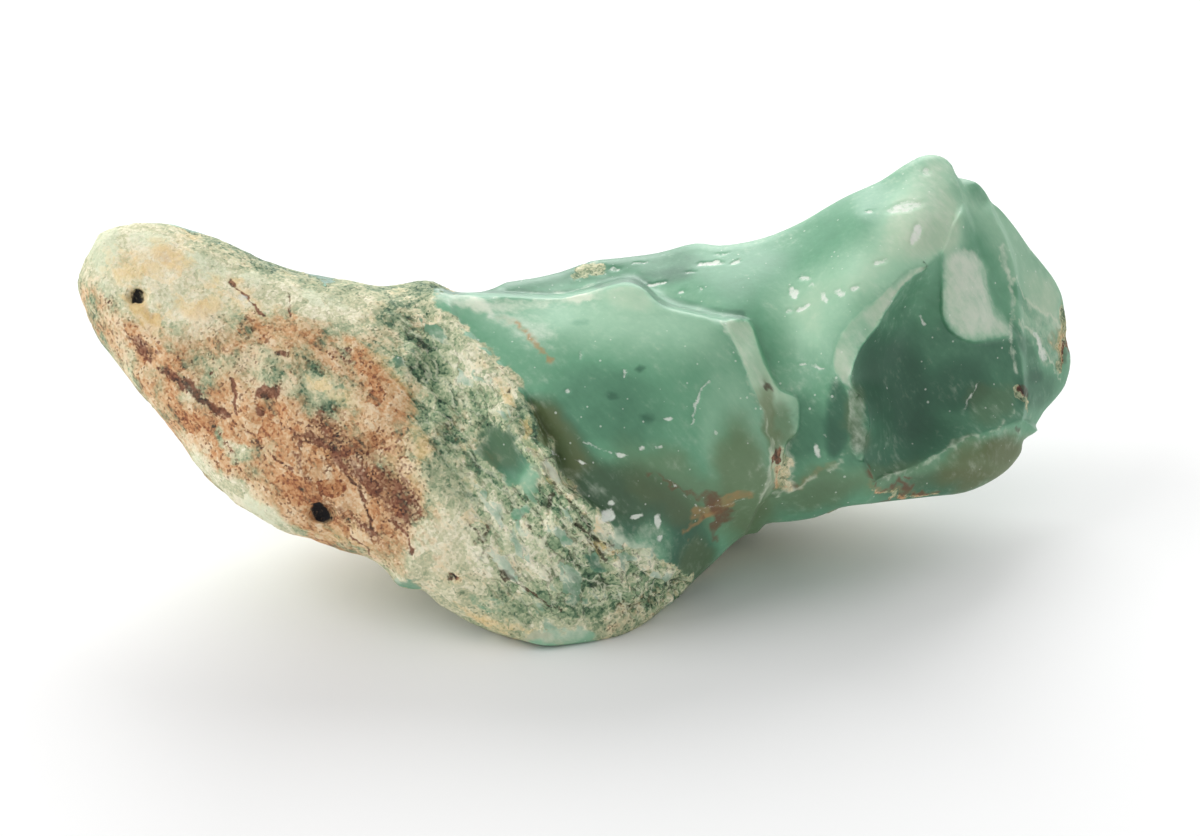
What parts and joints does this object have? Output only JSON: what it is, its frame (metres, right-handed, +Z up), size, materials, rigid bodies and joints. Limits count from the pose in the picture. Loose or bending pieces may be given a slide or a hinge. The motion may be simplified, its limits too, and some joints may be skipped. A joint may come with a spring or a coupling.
{
  "type": "rough chrome chalcedony",
  "caption": "Rough broken piece of green chalcedony with a rusty rind, glassy curved fracture faces and a flat spot to rest on.",
  "frame": {"origin": "middle of the flat spot that the stone rests on", "axes": "+Z up, +X along the stone toward its peaked end, +Y toward its back; the broad fracture face looks toward -Y and leans back"},
  "size_m": [0.0733, 0.0304, 0.0257],
  "materials": {
    "chalcedony": "waxy glassy fracture faces and a rough rusty rind"
  },
  "bodies": {
    "root": {"chalcedony": "chalcedony"}
  },
  "joints": []
}
